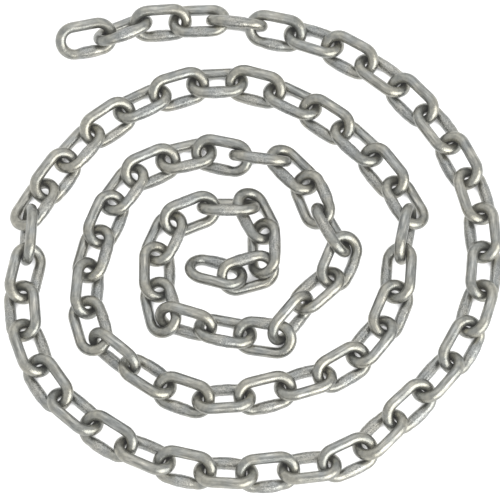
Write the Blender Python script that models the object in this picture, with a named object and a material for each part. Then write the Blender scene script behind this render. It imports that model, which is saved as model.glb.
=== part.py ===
# A length of galvanised round-steel link chain, laid out flat on the ground in a loose spiral.
# Both end links are free. Every link is threaded through the next one and lies tilted, with one
# leg on the ground and the other held up by its neighbours. Metres, +Z up.

import math

import bpy
import numpy as np
from mathutils import Matrix, Vector

MM = 0.001

# Driving dimensions of one link
WIRE = 8.5 * MM
INSIDE_LENGTH = 32.2 * MM
OUTSIDE_WIDTH = 30.2 * MM

# The wire's middle line round a link
END_RADIUS = (OUTSIDE_WIDTH - WIRE) / 2
HALF_LENGTH = (INSIDE_LENGTH + WIRE) / 2
STRAIGHT = HALF_LENGTH - END_RADIUS

# Distance between the middle lines of two threaded wires: a little under one wire where the
# two links are one solid, and a little over it where they only touch
JOINED = 7.4 * MM
TOUCHING = 9.0 * MM

# Facets of a link, whose eight-sided section has the area of the round wire
ARC_STEPS = 5
SECTION_SIDES = 8
SECTION_RADIUS = WIRE / 2 * math.sqrt(2 * math.pi / SECTION_SIDES / math.sin(2 * math.pi / SECTION_SIDES))
FLAT_RADIUS = SECTION_RADIUS * math.cos(math.pi / SECTION_SIDES)
SHARP_ANGLE = math.radians(60)

# The line that the chain follows on the ground: the number of links passed, then x and y in
# millimetres, from the outer end round to the inner one
ROUTE = [
    (0, -143, 169), (1, -114, 175), (2, -87, 184), (3, -55, 186), (5, 6, 182), (7, 65, 166),
    (9, 116, 132), (11, 156, 83), (13, 178, 26), (15, 178, -36), (17, 154, -94), (19, 108, -139),
    (20, 88, -162), (21, 60, -175), (22, 30, -177), (23, -3, -182), (25, -64, -173),
    (27, -120, -143), (29, -162, -98), (31, -175, -37), (32, -170, -8), (33, -170, 22),
    (34, -159, 45), (36, -123, 92), (38, -70, 125), (40, -10, 136), (42, 47, 113), (44, 95, 74),
    (46, 125, 23), (47, 116, -8), (48, 113, -39), (50, 84, -90), (52, 28, -114), (54, -36, -125),
    (56, -90, -98), (57, -116, -79), (58, -126, -49), (60, -117, 7), (61, -105, 35),
    (62, -90, 59), (64, -35, 77), (65, -8, 72), (66, 22, 70), (67, 45, 51), (68, 55, 24),
    (69, 72, 0), (70, 64, -26), (71, 41, -47), (72, 24, -75), (73, -3, -72), (75, -64, -60),
    (76, -71, -37), (77, -72, -8), (78, -60, 21), (79, -32, 31), (80, -1, 33), (81, 11, 11),
    (82, 11, -18), (83, -13, -25), (84, -38, -18),
]
LINKS = ROUTE[-1][0]

# Tilt of each link about its own length, in degrees: plus lifts its leg on the left of the way
# in from the outer end. Tilts alternate, and start afresh at the links in FIRST_OF_RUN. A few
# links stand nearly on edge or lie at a tilt of their own.
LEFT_UP = 34
RIGHT_UP = -28
FIRST_OF_RUN = {1: LEFT_UP, 6: LEFT_UP, 34: RIGHT_UP, 48: LEFT_UP, 58: RIGHT_UP, 67: RIGHT_UP,
                70: RIGHT_UP, 73: RIGHT_UP, 76: RIGHT_UP, 81: RIGHT_UP}
OWN_TILT = {2: -54, 3: 55, 4: -20, 5: -73, 33: -76, 47: -75, 57: -67, 58: -16, 59: 58, 61: 22,
            66: -61, 69: -63, 72: -60, 75: -62, 80: -55}

# Settling of the links
SETTLING_ROUNDS = 240
SINK = 0.15 * MM
HOLD = 0.04
SPIN_RADIUS = 12 * MM

# Galvanised steel
ZINC_GREY = (0.42, 0.43, 0.42, 1.0)
ZINC_ROUGHNESS = 0.45


def between(before, start, end, after, part):
    """A point of the smooth curve that runs from start to end."""
    straight = end - before
    bend = 2 * before - 5 * start + 4 * end - after
    twist = 3 * start - before - 3 * end + after
    return start + (straight * part + bend * part ** 2 + twist * part ** 3) / 2


def joints_on_route():
    """Where each link meets the next, with the two free ends, in plan."""
    passed = [stop[0] for stop in ROUTE]
    places = [np.array(stop[1:]) * MM for stop in ROUTE]
    joints = [places[0]]
    for stop in range(len(ROUTE) - 1):
        start, end = places[stop], places[stop + 1]
        before = places[stop - 1] if stop > 0 else 2 * start - end
        after = places[stop + 2] if stop + 2 < len(ROUTE) else 2 * end - start
        steps = passed[stop + 1] - passed[stop]
        for step in range(1, steps + 1):
            joints.append(between(before, start, end, after, step / steps))
    return np.array(joints)


def tilts():
    """Every link's tilt in radians, in order from the outer end."""
    found = []
    for link in range(1, LINKS + 1):
        if link in FIRST_OF_RUN:
            usual = FIRST_OF_RUN[link]
        found.append(math.radians(OWN_TILT.get(link, usual)))
        usual = RIGHT_UP if usual == LEFT_UP else LEFT_UP
    return np.array(found)


def middle_line(arc_steps):
    """The corners of the wire's middle line round one link: along its length, and across it."""
    turn = np.linspace(-math.pi / 2, math.pi / 2, arc_steps + 1)
    half = np.stack([STRAIGHT + END_RADIUS * np.cos(turn), END_RADIUS * np.sin(turn)], axis=1)
    return np.concatenate([half, -half])


def first_poses():
    """Centres and axes of the links as the route and the tilts give them."""
    joints = joints_on_route()
    tilt = tilts()
    run = joints[1:] - joints[:-1]
    heading = np.arctan2(run[:, 1], run[:, 0])
    zero = np.zeros(LINKS)
    along = np.stack([np.cos(heading), np.sin(heading), zero], axis=1)
    left = np.stack([-np.sin(heading), np.cos(heading), zero], axis=1)
    across = left * np.cos(tilt)[:, None]
    across[:, 2] = np.sin(tilt)
    centres = np.zeros((LINKS, 3))
    centres[:, :2] = (joints[1:] + joints[:-1]) / 2
    centres[:, 2] = SECTION_RADIUS + END_RADIUS * np.abs(np.sin(tilt))
    centres[0, 2] += FLAT_RADIUS - SECTION_RADIUS
    return centres, np.stack([along, across, np.cross(along, across)], axis=2)


def wires(centres, axes):
    """The middle lines of the links in space."""
    line = middle_line(ARC_STEPS)
    return centres[:, None] + line @ axes[:, :, :2].transpose(0, 2, 1)


def nearest(first, second):
    """The nearest points of each pair of wires."""
    side_one = (np.roll(first, -1, axis=1) - first)[:, :, None]
    side_two = (np.roll(second, -1, axis=1) - second)[:, None]
    gap = first[:, :, None] - second[:, None]
    square_one = (side_one ** 2).sum(-1)
    square_two = (side_two ** 2).sum(-1)
    both = (side_one * side_two).sum(-1)
    on_one = (side_one * gap).sum(-1)
    on_two = (side_two * gap).sum(-1)
    slant = np.maximum(square_one * square_two - both ** 2, 1e-6 * square_one * square_two)
    share_one = np.clip((both * on_two - on_one * square_two) / slant, 0, 1)
    share_two = np.clip((both * share_one + on_two) / square_two, 0, 1)
    share_one = np.clip((both * share_two - on_one) / square_one, 0, 1)
    points_one = first[:, :, None] + share_one[..., None] * side_one
    points_two = second[:, None] + share_two[..., None] * side_two
    apart = ((points_one - points_two) ** 2).sum(-1)
    pair = np.arange(len(first))
    side, other = np.divmod(apart.reshape(len(pair), -1).argmin(axis=1), apart.shape[2])
    return points_one[pair, side, other], points_two[pair, side, other]


def turned(axes, spin):
    """Axes turned by a small spin and squared up again."""
    moved = axes + np.cross(spin[:, None], axes.transpose(0, 2, 1)).transpose(0, 2, 1)
    along = moved[:, :, 0] / np.linalg.norm(moved[:, :, 0], axis=1)[:, None]
    across = moved[:, :, 1] - (moved[:, :, 1] * along).sum(1)[:, None] * along
    across /= np.linalg.norm(across, axis=1)[:, None]
    return np.stack([along, across, np.cross(along, across)], axis=2)


def settled(centres, axes, wanted):
    """The links moved a little, so that threaded wires lie the wanted distance apart and every
    link comes down on the ground or on its neighbours. The first link stays as it is laid."""
    laid_centres, laid_axes = centres.copy(), axes.copy()
    free = np.ones(LINKS)
    free[0] = 0
    up = np.array([0.0, 0.0, 1.0])
    for turn in range(SETTLING_ROUNDS):
        ease = 1 - turn / SETTLING_ROUNDS
        centres[:, 2] -= SINK * ease * free
        centres[:, :2] += HOLD * ease * free[:, None] * (laid_centres - centres)[:, :2]
        back = np.cross(axes, laid_axes, axis=1).sum(axis=2) / 2
        axes = turned(axes, HOLD * ease * free[:, None] * back)
        for start in (0, 1):
            one = np.arange(start, LINKS - 1, 2)
            two = one + 1
            loops = wires(centres, axes)
            on_one, on_two = nearest(loops[one], loops[two])
            apart = np.linalg.norm(on_two - on_one, axis=1)
            away = (on_two - on_one) / apart[:, None]
            lever_one = np.cross(on_one - centres[one], away)
            lever_two = np.cross(on_two - centres[two], away)
            ease_one = free[one] * (1 + (lever_one ** 2).sum(1) / SPIN_RADIUS ** 2)
            ease_two = free[two] * (1 + (lever_two ** 2).sum(1) / SPIN_RADIUS ** 2)
            push = ((wanted[one] - apart) / (ease_one + ease_two))[:, None]
            centres[one] -= push * away * free[one][:, None]
            centres[two] += push * away * free[two][:, None]
            axes[one] = turned(axes[one], -push * lever_one / SPIN_RADIUS ** 2 * free[one][:, None])
            axes[two] = turned(axes[two], push * lever_two / SPIN_RADIUS ** 2 * free[two][:, None])
        loops = wires(centres, axes)
        lowest = loops[:, :, 2].argmin(axis=1)
        depth = np.maximum(SECTION_RADIUS - loops[np.arange(LINKS), lowest, 2], 0) * free
        lever = np.cross(loops[np.arange(LINKS), lowest] - centres, up)
        lift = depth / (1 + (lever ** 2).sum(1) / SPIN_RADIUS ** 2)
        centres[:, 2] += lift
        axes = turned(axes, lift[:, None] * lever / SPIN_RADIUS ** 2)
    return centres, axes


def laid_chain():
    """Every link's place, with the spiral's middle over the origin."""
    wanted = np.full(LINKS - 1, TOUCHING)
    wanted[1:-1:2] = JOINED
    centres, axes = settled(*first_poses(), wanted)
    loops = wires(centres, axes)
    centres[:, :2] -= (loops.min(axis=(0, 1)) + loops.max(axis=(0, 1)))[:2] / 2
    return centres, axes


def galvanised_steel(name):
    material = bpy.data.materials.new(name + "_zinc")
    material.use_nodes = True
    shader = material.node_tree.nodes["Principled BSDF"]
    shader.inputs["Base Color"].default_value = ZINC_GREY
    shader.inputs["Metallic"].default_value = 1.0
    shader.inputs["Roughness"].default_value = ZINC_ROUGHNESS
    return material


def link_object(name, centre, axes, collection):
    """One bent and welded link, with a facet of its lower leg turned to the ground."""
    curve = bpy.data.curves.new(name, "CURVE")
    curve.dimensions = "3D"
    curve.bevel_depth = SECTION_RADIUS
    curve.bevel_resolution = SECTION_SIDES // 2 - 2
    points = middle_line(ARC_STEPS)
    spline = curve.splines.new("POLY")
    spline.points.add(len(points) - 1)
    spline.use_cyclic_u = True
    turn = math.asin(abs(axes[2, 1]))
    for point, (x, y) in zip(spline.points, points):
        point.co = (x, y, 0, 1)
        point.tilt = turn
    bent = bpy.data.objects.new(name + "_curve", curve)
    bpy.context.scene.collection.objects.link(bent)
    mesh = bpy.data.meshes.new_from_object(bent.evaluated_get(bpy.context.evaluated_depsgraph_get()))
    bpy.data.objects.remove(bent)
    bpy.data.curves.remove(curve)
    mesh.name = name
    mesh.materials.clear()
    mesh.shade_smooth()
    mesh.set_sharp_from_angle(angle=SHARP_ANGLE)
    link = bpy.data.objects.new(name, mesh)
    link.matrix_world = Matrix.Translation(Vector(centre)) @ Matrix(axes.tolist()).to_4x4()
    collection.objects.link(link)
    return link


def new_collection(name):
    collection = bpy.data.collections.new(name)
    bpy.context.scene.collection.children.link(collection)
    return collection


def build():
    for old in list(bpy.data.objects):
        bpy.data.objects.remove(old)
    chain = new_collection("steel_chain")
    second_links = new_collection("steel_chain_joined_links")
    centres, axes = laid_chain()
    firsts = [0] + list(range(1, LINKS - 1, 2)) + [LINKS - 1]
    for first in firsts:
        number = first + 1
        alone = first in (0, LINKS - 1)
        name = f"link_{number:02d}" if alone else f"links_{number:02d}_{number + 1:02d}"
        link = link_object(name, centres[first], axes[first], chain)
        link.data.materials.append(galvanised_steel(name))
        if alone:
            continue
        mate = link_object(f"link_{number + 1:02d}_joined", centres[first + 1], axes[first + 1], second_links)
        mate.hide_render = True
        mate.display_type = "WIRE"
        join = link.modifiers.new("threaded_link", "BOOLEAN")
        join.operation = "UNION"
        join.solver = "EXACT"
        join.object = mate


build()
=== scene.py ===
import math
import random

import bpy
import numpy as np
from mathutils import Matrix, Vector


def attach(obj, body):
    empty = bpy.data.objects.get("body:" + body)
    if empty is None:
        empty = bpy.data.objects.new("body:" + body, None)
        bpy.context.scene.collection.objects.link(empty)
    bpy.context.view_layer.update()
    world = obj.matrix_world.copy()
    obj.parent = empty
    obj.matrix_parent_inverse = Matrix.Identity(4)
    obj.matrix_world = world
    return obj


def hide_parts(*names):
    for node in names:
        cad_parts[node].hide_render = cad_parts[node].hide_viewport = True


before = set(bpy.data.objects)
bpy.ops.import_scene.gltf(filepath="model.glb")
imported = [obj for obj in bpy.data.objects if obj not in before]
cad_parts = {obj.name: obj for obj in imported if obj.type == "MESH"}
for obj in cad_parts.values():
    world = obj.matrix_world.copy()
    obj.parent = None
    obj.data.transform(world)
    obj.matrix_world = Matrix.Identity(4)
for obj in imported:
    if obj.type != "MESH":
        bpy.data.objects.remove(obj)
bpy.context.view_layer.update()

bpy.ops.object.select_all(action="DESELECT")


# The link. Round steel rod is cut, bent round a former into a long ring, and its two ends are
# pressed together and flash welded in the middle of one leg. The upset metal is dressed down
# to a long low spindle, with the rod a little narrower at both ends of it.

MM = 0.001
WIRE = 8.5 * MM
INSIDE_LENGTH = 32.2 * MM
OUTSIDE_WIDTH = 30.2 * MM
END_RADIUS = (OUTSIDE_WIDTH - WIRE) / 2
HALF_LENGTH = (INSIDE_LENGTH + WIRE) / 2
STRAIGHT = HALF_LENGTH - END_RADIUS
ROD_SIDES = 24
BEND_STEPS = 18
LEG_STEPS = 24
MERGE = 0.01 * MM
WELD_REACH = 7.5 * MM
WELD_SHOULDERS = 4
NECK_AT = 10 * MM
NECK_REACH = 2.5 * MM
NECK_SHOULDERS = 2
LEG_REACH = 11 * MM
LEG_SHOULDERS = 6


def fade(distance, reach, shoulders):
    """A share that falls from 1 at no distance to 0 past the reach, more abruptly for high shoulders."""
    return math.exp(-(distance / reach) ** shoulders)


bpy.ops.mesh.primitive_circle_add(vertices=ROD_SIDES, radius=WIRE / 2,
                                  location=(STRAIGHT, -END_RADIUS, 0), rotation=(0, math.pi / 2, 0))
pattern = bpy.context.object
pattern.name = "link_pattern"
bpy.ops.object.transform_apply()
bpy.ops.object.mode_set(mode="EDIT")
bpy.ops.mesh.select_all(action="SELECT")
for end in (1, -1):
    bpy.ops.mesh.spin(steps=BEND_STEPS, angle=math.pi, center=(end * STRAIGHT, 0, 0), axis=(0, 0, -1))
    for step in range(LEG_STEPS):
        run = (-end * 2 * STRAIGHT / LEG_STEPS, 0, 0)
        bpy.ops.mesh.extrude_region_move(TRANSFORM_OT_translate={"value": run})
bpy.ops.mesh.select_all(action="SELECT")
bpy.ops.mesh.remove_doubles(threshold=MERGE)
bpy.ops.mesh.normals_make_consistent(inside=False)
bpy.ops.object.mode_set(mode="OBJECT")
bpy.ops.object.shade_smooth()

# How much of the weld, of its necks and of a leg each point is, and its place on its own link:
# the groups are for the modifiers, and the attributes are for the zinc's patterns.
weld_shares = [fade(vertex.co.x, WELD_REACH, WELD_SHOULDERS) if vertex.co.y > 0 else 0
               for vertex in pattern.data.vertices]
neck_shares = [fade(abs(vertex.co.x) - NECK_AT, NECK_REACH, NECK_SHOULDERS) if vertex.co.y > 0 else 0
               for vertex in pattern.data.vertices]
leg_shares = [fade(vertex.co.x, LEG_REACH, LEG_SHOULDERS) for vertex in pattern.data.vertices]
for name, shares in (("weld_metal", weld_shares), ("weld_necks", neck_shares)):
    group = pattern.vertex_groups.new(name=name)
    for index, share in enumerate(shares):
        group.add([index], share, "REPLACE")
for name, shares in (("weld", weld_shares), ("leg", leg_shares)):
    pattern.data.attributes.new(name, "FLOAT", "POINT").data.foreach_set("value", shares)
own_places = [value for vertex in pattern.data.vertices for value in vertex.co]
pattern.data.attributes.new("own_place", "FLOAT_VECTOR", "POINT").data.foreach_set("vector", own_places)


# The lie of the chain. It is paid out on the ground in a spiral, from the free outer end link
# in to the free inner one. Each link hangs in the next by its bend, with one leg on the ground
# and the other leaning up, first to one side and then to the other.

# Stops on the way in: how many links have been paid out, and the place in plan in mm.
ROUTE = [
    (0, -143, 169), (1, -114, 175), (2, -87, 184), (3, -55, 186), (5, 6, 182), (7, 65, 166),
    (9, 116, 132), (11, 156, 83), (13, 178, 26), (15, 178, -36), (17, 154, -94), (19, 108, -139),
    (20, 88, -162), (21, 60, -175), (22, 30, -177), (23, -3, -182), (25, -64, -173),
    (27, -120, -143), (29, -162, -98), (31, -175, -37), (32, -170, -8), (33, -170, 22),
    (34, -159, 45), (36, -123, 92), (38, -70, 125), (40, -10, 136), (42, 47, 113), (44, 95, 74),
    (46, 125, 23), (47, 116, -8), (48, 113, -39), (50, 84, -90), (52, 28, -114), (54, -36, -125),
    (56, -90, -98), (57, -116, -79), (58, -126, -49), (60, -117, 7), (61, -105, 35),
    (62, -90, 59), (64, -35, 77), (65, -8, 72), (66, 22, 70), (67, 45, 51), (68, 55, 24),
    (69, 72, 0), (70, 64, -26), (71, 41, -47), (72, 24, -75), (73, -3, -72), (75, -64, -60),
    (76, -71, -37), (77, -72, -8), (78, -60, 21), (79, -32, 31), (80, -1, 33), (81, 11, 11),
    (82, 11, -18), (83, -13, -25), (84, -38, -18),
]
LINKS = ROUTE[-1][0]
# Tilts in degrees: the two usual ones, which take turns, the links where their turns start
# afresh, and the links that lean some other way.
LEFT_UP = 34
RIGHT_UP = -28
FIRST_OF_RUN = {1: LEFT_UP, 6: LEFT_UP, 34: RIGHT_UP, 48: LEFT_UP, 58: RIGHT_UP, 67: RIGHT_UP,
                70: RIGHT_UP, 73: RIGHT_UP, 76: RIGHT_UP, 81: RIGHT_UP}
OWN_TILT = {2: -54, 3: 55, 4: -20, 5: -73, 33: -76, 47: -75, 57: -67, 58: -16, 59: 58, 61: 22,
            66: -61, 69: -63, 72: -60, 75: -62, 80: -55}
# Where two wires bear on each other the zinc is worn thin, so their middles lie this far apart.
TOUCHING = 8.4 * MM
# The settling: steps round each bend, rounds, how far a link sinks in a round at first, how
# hard it is drawn back to where it was laid, and the arm at which it resists turning.
LINE_STEPS = 10
SETTLING_ROUNDS = 240
SINK = 0.15 * MM
HOLD = 0.04
SPIN_RADIUS = 12 * MM
NEARLY_PARALLEL = 1e-6


def between(before, start, end, after, part):
    """A point of the smooth curve that runs from start to end."""
    straight = end - before
    bend = 2 * before - 5 * start + 4 * end - after
    twist = 3 * start - before - 3 * end + after
    return start + (straight * part + bend * part ** 2 + twist * part ** 3) / 2


def joints_on_route():
    """Where each link meets the next, with the two free ends, in plan."""
    passed = [stop[0] for stop in ROUTE]
    places = [np.array(stop[1:]) * MM for stop in ROUTE]
    joints = [places[0]]
    for stop in range(len(ROUTE) - 1):
        start, end = places[stop], places[stop + 1]
        before = places[stop - 1] if stop > 0 else 2 * start - end
        after = places[stop + 2] if stop + 2 < len(ROUTE) else 2 * end - start
        steps = passed[stop + 1] - passed[stop]
        for step in range(1, steps + 1):
            joints.append(between(before, start, end, after, step / steps))
    return np.array(joints)


def tilts():
    """Every link's tilt in radians, positive where its left leg is the upper one."""
    found = []
    for number in range(1, LINKS + 1):
        if number in FIRST_OF_RUN:
            usual = FIRST_OF_RUN[number]
        found.append(math.radians(OWN_TILT.get(number, usual)))
        usual = RIGHT_UP if usual == LEFT_UP else LEFT_UP
    return np.array(found)


def middle_line():
    """The corners of the rod's middle line round one link: along its length, and across it."""
    turn = np.linspace(-math.pi / 2, math.pi / 2, LINE_STEPS + 1)
    half = np.stack([STRAIGHT + END_RADIUS * np.cos(turn), END_RADIUS * np.sin(turn)], axis=1)
    return np.concatenate([half, -half])


def first_poses():
    """Centres and axes of the links as the route and the tilts give them."""
    joints = joints_on_route()
    tilt = tilts()
    run = joints[1:] - joints[:-1]
    heading = np.arctan2(run[:, 1], run[:, 0])
    zero = np.zeros(LINKS)
    along = np.stack([np.cos(heading), np.sin(heading), zero], axis=1)
    left = np.stack([-np.sin(heading), np.cos(heading), zero], axis=1)
    across = left * np.cos(tilt)[:, None]
    across[:, 2] = np.sin(tilt)
    centres = np.zeros((LINKS, 3))
    centres[:, :2] = (joints[1:] + joints[:-1]) / 2
    centres[:, 2] = WIRE / 2 + END_RADIUS * np.abs(np.sin(tilt))
    return centres, np.stack([along, across, np.cross(along, across)], axis=2)


def wires(centres, axes):
    """The middle lines of the links in space."""
    return centres[:, None] + middle_line() @ axes[:, :, :2].transpose(0, 2, 1)


def nearest(first, second):
    """The nearest points of each pair of wires."""
    side_one = (np.roll(first, -1, axis=1) - first)[:, :, None]
    side_two = (np.roll(second, -1, axis=1) - second)[:, None]
    gap = first[:, :, None] - second[:, None]
    square_one = (side_one ** 2).sum(-1)
    square_two = (side_two ** 2).sum(-1)
    both = (side_one * side_two).sum(-1)
    on_one = (side_one * gap).sum(-1)
    on_two = (side_two * gap).sum(-1)
    least = NEARLY_PARALLEL * square_one * square_two
    slant = np.maximum(square_one * square_two - both ** 2, least)
    share_one = np.clip((both * on_two - on_one * square_two) / slant, 0, 1)
    share_two = np.clip((both * share_one + on_two) / square_two, 0, 1)
    share_one = np.clip((both * share_two - on_one) / square_one, 0, 1)
    points_one = first[:, :, None] + share_one[..., None] * side_one
    points_two = second[:, None] + share_two[..., None] * side_two
    apart = ((points_one - points_two) ** 2).sum(-1)
    pair = np.arange(len(first))
    side, other = np.divmod(apart.reshape(len(pair), -1).argmin(axis=1), apart.shape[2])
    return points_one[pair, side, other], points_two[pair, side, other]


def turned(axes, spin):
    """Axes turned by a small spin and squared up again."""
    moved = axes + np.cross(spin[:, None], axes.transpose(0, 2, 1)).transpose(0, 2, 1)
    along = moved[:, :, 0] / np.linalg.norm(moved[:, :, 0], axis=1)[:, None]
    across = moved[:, :, 1] - (moved[:, :, 1] * along).sum(1)[:, None] * along
    across /= np.linalg.norm(across, axis=1)[:, None]
    return np.stack([along, across, np.cross(along, across)], axis=2)


def settled(centres, axes):
    """The links moved a little, so that each bears on the next and comes down on the ground.

    The outer end link is held as it was laid, and the others move.
    """
    laid_centres, laid_axes = centres.copy(), axes.copy()
    free = np.ones(LINKS)
    free[0] = 0
    up = np.array([0.0, 0.0, 1.0])
    for turn in range(SETTLING_ROUNDS):
        ease = 1 - turn / SETTLING_ROUNDS
        centres[:, 2] -= SINK * ease * free
        centres[:, :2] += HOLD * ease * free[:, None] * (laid_centres - centres)[:, :2]
        back = np.cross(axes, laid_axes, axis=1).sum(axis=2) / 2
        axes = turned(axes, HOLD * ease * free[:, None] * back)
        for start in (0, 1):
            one = np.arange(start, LINKS - 1, 2)
            two = one + 1
            loops = wires(centres, axes)
            on_one, on_two = nearest(loops[one], loops[two])
            apart = np.linalg.norm(on_two - on_one, axis=1)
            away = (on_two - on_one) / apart[:, None]
            lever_one = np.cross(on_one - centres[one], away)
            lever_two = np.cross(on_two - centres[two], away)
            ease_one = free[one] * (1 + (lever_one ** 2).sum(1) / SPIN_RADIUS ** 2)
            ease_two = free[two] * (1 + (lever_two ** 2).sum(1) / SPIN_RADIUS ** 2)
            push = ((TOUCHING - apart) / (ease_one + ease_two))[:, None]
            centres[one] -= push * away * free[one][:, None]
            centres[two] += push * away * free[two][:, None]
            axes[one] = turned(axes[one], -push * lever_one / SPIN_RADIUS ** 2 * free[one][:, None])
            axes[two] = turned(axes[two], push * lever_two / SPIN_RADIUS ** 2 * free[two][:, None])
        loops = wires(centres, axes)
        lowest = loops[:, :, 2].argmin(axis=1)
        depth = np.maximum(WIRE / 2 - loops[np.arange(LINKS), lowest, 2], 0) * free
        lever = np.cross(loops[np.arange(LINKS), lowest] - centres, up)
        lift = depth / (1 + (lever ** 2).sum(1) / SPIN_RADIUS ** 2)
        centres[:, 2] += lift
        axes = turned(axes, lift[:, None] * lever / SPIN_RADIUS ** 2)
    return centres, axes


centres, axes = settled(*first_poses())
# The middle of the footprint is brought over the origin.
loops = wires(centres, axes)
centres[:, :2] -= (loops.min(axis=(0, 1)) + loops.max(axis=(0, 1)))[:2] / 2


# The zinc. The finished chain is dipped in molten zinc, spun and quenched. Its skin is a matt,
# mottled grey, creamy in some patches and bluish in others: faintly bright on the bends,
# streaked along the drawn rod of the legs with painted glints in the brightest streaks, and frosted over
# the rough welds.

MOTTLE = 3 * MM
PATCH = 12 * MM
# The real grain, the specks of the frost and the drawing marks are under half a millimetre wide,
# too fine to show in the render, so they are drawn as coarse as they need to show.
GRAIN = 1 * MM
SPECK = 1 * MM
STREAK = 1.6 * MM
STREAK_LENGTH = 6
LEG_STREAKS = 0.75
WELD_FROST = 0.6
SKIN_ROUGHNESS = 0.3
WELD_ROUGHNESS = 0.38
RELIEF = 0.22 * MM
RELIEF_STRENGTH = 0.6


def linear(hex_colour):
    """An sRGB hex colour as linear RGBA."""
    parts = [int(hex_colour[i:i + 2], 16) / 255 for i in (1, 3, 5)]
    return [p / 12.92 if p <= 0.04045 else ((p + 0.055) / 1.055) ** 2.4 for p in parts] + [1]


def add_node(tree, kind, inputs=None, stops=(), **settings):
    """Adds a node with its settings, its values, the sockets that feed it and a ramp's stops."""
    new = tree.nodes.new(kind)
    for name, value in settings.items():
        setattr(new, name, value)
    for socket, value in (inputs or {}).items():
        if isinstance(value, bpy.types.NodeSocket):
            tree.links.new(value, new.inputs[socket])
        else:
            new.inputs[socket].default_value = value
    for i, (place, colour) in enumerate(stops):
        element = new.color_ramp.elements[i] if i < 2 else new.color_ramp.elements.new(place)
        element.position = place
        element.color = colour
    return new


zinc = bpy.data.materials.new("hot_dip_galvanised_steel")
zinc.use_nodes = True
tree = zinc.node_tree
shader = tree.nodes["Principled BSDF"]
place = add_node(tree, "ShaderNodeTexCoord").outputs["Object"]
on_weld = add_node(tree, "ShaderNodeAttribute", attribute_name="weld").outputs["Fac"]
on_leg = add_node(tree, "ShaderNodeAttribute", attribute_name="leg").outputs["Fac"]
own_tint = add_node(tree, "ShaderNodeAttribute", attribute_name="own_tint").outputs["Fac"]
own_place = add_node(tree, "ShaderNodeAttribute", attribute_name="own_place").outputs["Vector"]

# The patterns. The drawing marks follow each link's own rod, and each link has its own of them.
mottle = add_node(tree, "ShaderNodeTexNoise",
                  {"Vector": place, "Scale": 1 / MOTTLE, "Detail": 3.0, "Roughness": 0.6}).outputs["Fac"]
patches = add_node(tree, "ShaderNodeTexNoise",
                   {"Vector": place, "Scale": 1 / PATCH, "Detail": 2.0}).outputs["Fac"]
grain = add_node(tree, "ShaderNodeTexNoise",
                 {"Vector": place, "Scale": 1 / GRAIN, "Detail": 2.0}).outputs["Fac"]
specks = add_node(tree, "ShaderNodeTexNoise",
                  {"Vector": place, "Scale": 1 / SPECK, "Detail": 1.0}).outputs["Fac"]
along_rod = add_node(tree, "ShaderNodeMapping",
                     {"Vector": own_place, "Scale": (1 / STREAK_LENGTH, 1, 1)}).outputs["Vector"]
streaks = add_node(tree, "ShaderNodeTexNoise",
                   {"Vector": along_rod, "W": own_tint, "Scale": 1 / STREAK, "Detail": 2.0},
                   noise_dimensions="4D").outputs["Fac"]

# The colour. Sockets 0, 6 and 7 of a Mix node are its share and the two colours.
skin = add_node(tree, "ShaderNodeValToRGB", {"Fac": mottle},
                stops=[(0.3, linear("#868782")), (0.7, linear("#A6A69D"))]).outputs["Color"]
# The drawing marks along the legs: darker and lighter streaks of the rod, with painted glints in the
# brightest streaks.
drawn_marks_and_glints = add_node(tree, "ShaderNodeValToRGB", {"Fac": streaks},
                 stops=[(0.36, linear("#7B7D7A")), (0.62, linear("#B0B1AC")),
                        (0.76, linear("#DEDCD2"))]).outputs["Color"]
frosted = add_node(tree, "ShaderNodeValToRGB", {"Fac": specks},
                   stops=[(0.35, linear("#6F7170")), (0.65, linear("#B9BAB5"))]).outputs["Color"]
rough = add_node(tree, "ShaderNodeMix", {0: WELD_FROST, 6: drawn_marks_and_glints, 7: frosted},
                 data_type="RGBA").outputs[2]
leg_share = add_node(tree, "ShaderNodeMath", {0: on_leg, 1: LEG_STREAKS},
                     operation="MULTIPLY").outputs[0]
skin = add_node(tree, "ShaderNodeMix", {0: leg_share, 6: skin, 7: drawn_marks_and_glints}, data_type="RGBA").outputs[2]
colour = add_node(tree, "ShaderNodeMix", {0: on_weld, 6: skin, 7: rough}, data_type="RGBA").outputs[2]
warmth = add_node(tree, "ShaderNodeMath", {0: patches, 1: own_tint}, operation="ADD").outputs[0]
tint = add_node(tree, "ShaderNodeValToRGB", {"Fac": warmth},
                stops=[(0.36, linear("#EAECF0")), (0.64, linear("#FFFCF8"))]).outputs["Color"]
colour = add_node(tree, "ShaderNodeMix", {0: 1.0, 6: colour, 7: tint}, data_type="RGBA",
                  blend_type="MULTIPLY").outputs[2]
tree.links.new(colour, shader.inputs["Base Color"])

# The metal's gloss and relief.
shader.inputs["Metallic"].default_value = 1.0
gloss = add_node(tree, "ShaderNodeMapRange", {"Value": on_weld, "To Min": SKIN_ROUGHNESS,
                                              "To Max": WELD_ROUGHNESS}).outputs["Result"]
tree.links.new(gloss, shader.inputs["Roughness"])
crust = add_node(tree, "ShaderNodeMath", {0: specks, 1: streaks}, operation="ADD").outputs[0]
crust = add_node(tree, "ShaderNodeMath", {0: on_weld, 1: crust}, operation="MULTIPLY").outputs[0]
furrows = add_node(tree, "ShaderNodeMath", {0: leg_share, 1: streaks}, operation="MULTIPLY").outputs[0]
height = add_node(tree, "ShaderNodeMath", {0: crust, 1: grain}, operation="ADD").outputs[0]
height = add_node(tree, "ShaderNodeMath", {0: height, 1: furrows}, operation="ADD").outputs[0]
bump = add_node(tree, "ShaderNodeBump", {"Height": height, "Strength": RELIEF_STRENGTH,
                                         "Distance": RELIEF}).outputs["Normal"]
tree.links.new(bump, shader.inputs["Normal"])
pattern.data.materials.append(zinc)


# The 84 links, each a copy of the one pattern, put in its place and given its own unevenness:
# the zinc runs and thickens, and no two welds are alike. Looking along the chain from its outer
# end, the links in WELD_ON_LEFT have the weld on the left leg and the others on the right one.

WELD_ON_LEFT = {*range(7, 34, 2), 47, 49, 51, 53, 55, 57, 68, 70, 72, 74, 75, 79, 82}
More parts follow.
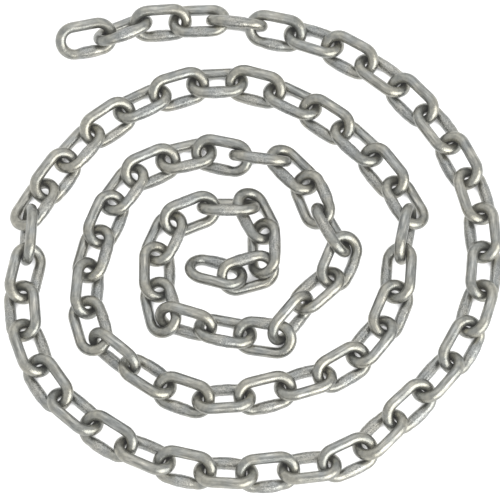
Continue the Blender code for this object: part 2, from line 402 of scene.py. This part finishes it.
# The usual swelling, neck and bow of a weld, the height and length of the zinc's runs and of
# the weld's lumps, and how much warmer or colder than the others a link may be.
WELD_SWELLING = 0.35 * MM
WELD_NECK = 0.2 * MM
WELD_BOW = 0.3 * MM
RUNS = 0.12 * MM
RUN_LENGTH = 6 * MM
LUMPS = 0.5 * MM
LUMP_LENGTH = 2.5 * MM
TINT = 0.06

runs = bpy.data.textures.new("zinc_runs", "CLOUDS")
runs.noise_scale = RUN_LENGTH
lumps = bpy.data.textures.new("weld_lumps", "CLOUDS")
lumps.noise_scale = LUMP_LENGTH


def cad_node(number):
    """The solid that a link stands for: the two end links have their own, the others are in pairs."""
    if number in (1, LINKS):
        return f"link_{number:02d}"
    first = number - number % 2
    return f"links_{first:02d}_{first + 1:02d}"


def apply_modifier(piece, kind, **settings):
    """Gives the piece a modifier and works it into its mesh."""
    modifier = piece.modifiers.new(kind.lower(), kind)
    for name, value in settings.items():
        setattr(modifier, name, value)
    bpy.context.view_layer.objects.active = piece
    bpy.ops.object.modifier_apply(modifier=modifier.name)


for number in range(1, LINKS + 1):
    link = pattern.copy()
    link.data = pattern.data.copy()
    link.name = f"chain_link_{number:02d}"
    link.data.name = link.name
    bpy.context.scene.collection.objects.link(link)
    chance = random.Random(number)
    bow = WELD_BOW * chance.uniform(-1, 1.5)
    for vertex, share in zip(link.data.vertices, weld_shares):
        vertex.co.y += bow * share
    swelling = WELD_SWELLING * chance.uniform(0.3, 1.7)
    apply_modifier(link, "DISPLACE", strength=swelling, mid_level=0, vertex_group="weld_metal")
    neck = WELD_NECK * chance.uniform(0, 1.5)
    apply_modifier(link, "DISPLACE", strength=-neck, mid_level=0, vertex_group="weld_necks")
    pose = Matrix(axes[number - 1].tolist()).to_4x4()
    pose.translation = centres[number - 1]
    if number not in WELD_ON_LEFT:
        pose = pose @ Matrix.Rotation(math.pi, 4, "Z")
    link.data.transform(pose)
    apply_modifier(link, "DISPLACE", texture=runs, strength=RUNS, mid_level=0.5)
    apply_modifier(link, "DISPLACE", texture=lumps, strength=LUMPS, mid_level=0.5,
                   vertex_group="weld_metal")
    own_tint = [chance.uniform(-TINT, TINT)] * len(link.data.vertices)
    link.data.attributes.new("own_tint", "FLOAT", "POINT").data.foreach_set("value", own_tint)
    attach(link, "root")
    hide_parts(cad_node(number))

bpy.data.objects.remove(pattern)


# The ground that the chain lies on: a plain pale sheet, lit from above, that also glows white by its own
# emission, which is painted light, so that it stays white between the links, with painted shade where
# its glow is cut down in the pinholes where two bends cross.

GROUND_SIZE = 6
GROUND_DEPTH = 0.75 * MM
# A spot's open sky is the share of it that no metal within reach hides. These are the shares
# where the painted shade on the sheet is darkest and where the sheet glows white.
SHADE_REACH = 10 * MM
PAINTED_SHADE_SKY = 0.22
WHITE_SKY = 0.4

bpy.ops.mesh.primitive_plane_add(size=GROUND_SIZE, location=(0, 0, -GROUND_DEPTH))
ground = bpy.context.object
ground.name = "ground"
glowing_sheet = bpy.data.materials.new("glowing_sheet_painted_shade")
glowing_sheet.use_nodes = True
sheet = glowing_sheet.node_tree.nodes["Principled BSDF"]
sheet.inputs["Base Color"].default_value = linear("#808080")
sheet.inputs["Roughness"].default_value = 0.9
open_sky = add_node(glowing_sheet.node_tree, "ShaderNodeAmbientOcclusion", {"Distance": SHADE_REACH},
                    samples=64).outputs["AO"]
# The sheet's glow is painted light, and it turns to painted shade where little sky is open.
glow_with_painted_shade = add_node(glowing_sheet.node_tree, "ShaderNodeValToRGB", {"Fac": open_sky},
                stops=[(PAINTED_SHADE_SKY, linear("#404040")), (WHITE_SKY, linear("#FFFFFF"))]).outputs["Color"]
glowing_sheet.node_tree.links.new(glow_with_painted_shade, sheet.inputs["Emission Color"])
sheet.inputs["Emission Strength"].default_value = 1.0
ground.data.materials.append(glowing_sheet)


# Soft studio light, and the camera nearly overhead. The light is even all round, with one low,
# faintly warm window of light from the front right that draws the highlights along the bends.

def soft_box(name, place, width, height, power, colour):
    """A flat light that faces the middle of the chain."""
    bpy.ops.object.light_add(type="AREA", location=place)
    box = bpy.context.object
    box.name = name
    box.data.shape = "RECTANGLE"
    box.data.size = width
    box.data.size_y = height
    box.data.energy = power
    box.data.color = linear(colour)[:3]
    box.rotation_euler = Vector(place).to_track_quat("Z", "Y").to_euler()


world = bpy.data.worlds.new("studio")
bpy.context.scene.world = world
world.use_nodes = True
surround = world.node_tree.nodes["Background"]
surround.inputs["Color"].default_value = linear("#FFFFFF")
surround.inputs["Strength"].default_value = 1.0
soft_box("window", (1.0, -0.93, 0.68), 1.8, 1.4, 26, "#FFFDF9")
soft_box("overhead", (-0.1, 0.9, 1.6), 1.8, 2.0, 6, "#FFFFFF")

# The glare of the white ground in a lens lifts the darkest tones by this much.
GLARE = 0.03
view = bpy.context.scene.view_settings
view.view_transform = "Standard"
view.use_curve_mapping = True
view.curve_mapping.black_level = (-GLARE, -GLARE, -GLARE)
view.curve_mapping.update()

# The camera stands in front of the chain, far back with a long lens, and looks down on it.
VIEW_HEIGHT = math.radians(71)
EYE_DISTANCE = 2236 * MM
AIM = Vector((-2.5, -3.7, 0)) * MM
towards_eye = Vector((0, -math.cos(VIEW_HEIGHT), math.sin(VIEW_HEIGHT)))
bpy.ops.object.camera_add(location=AIM + EYE_DISTANCE * towards_eye,
                          rotation=(math.pi / 2 - VIEW_HEIGHT, 0, 0))
camera = bpy.context.object
camera.data.sensor_width = 36
camera.data.lens = 208.8
camera.data.clip_end = 20
bpy.context.scene.camera = camera
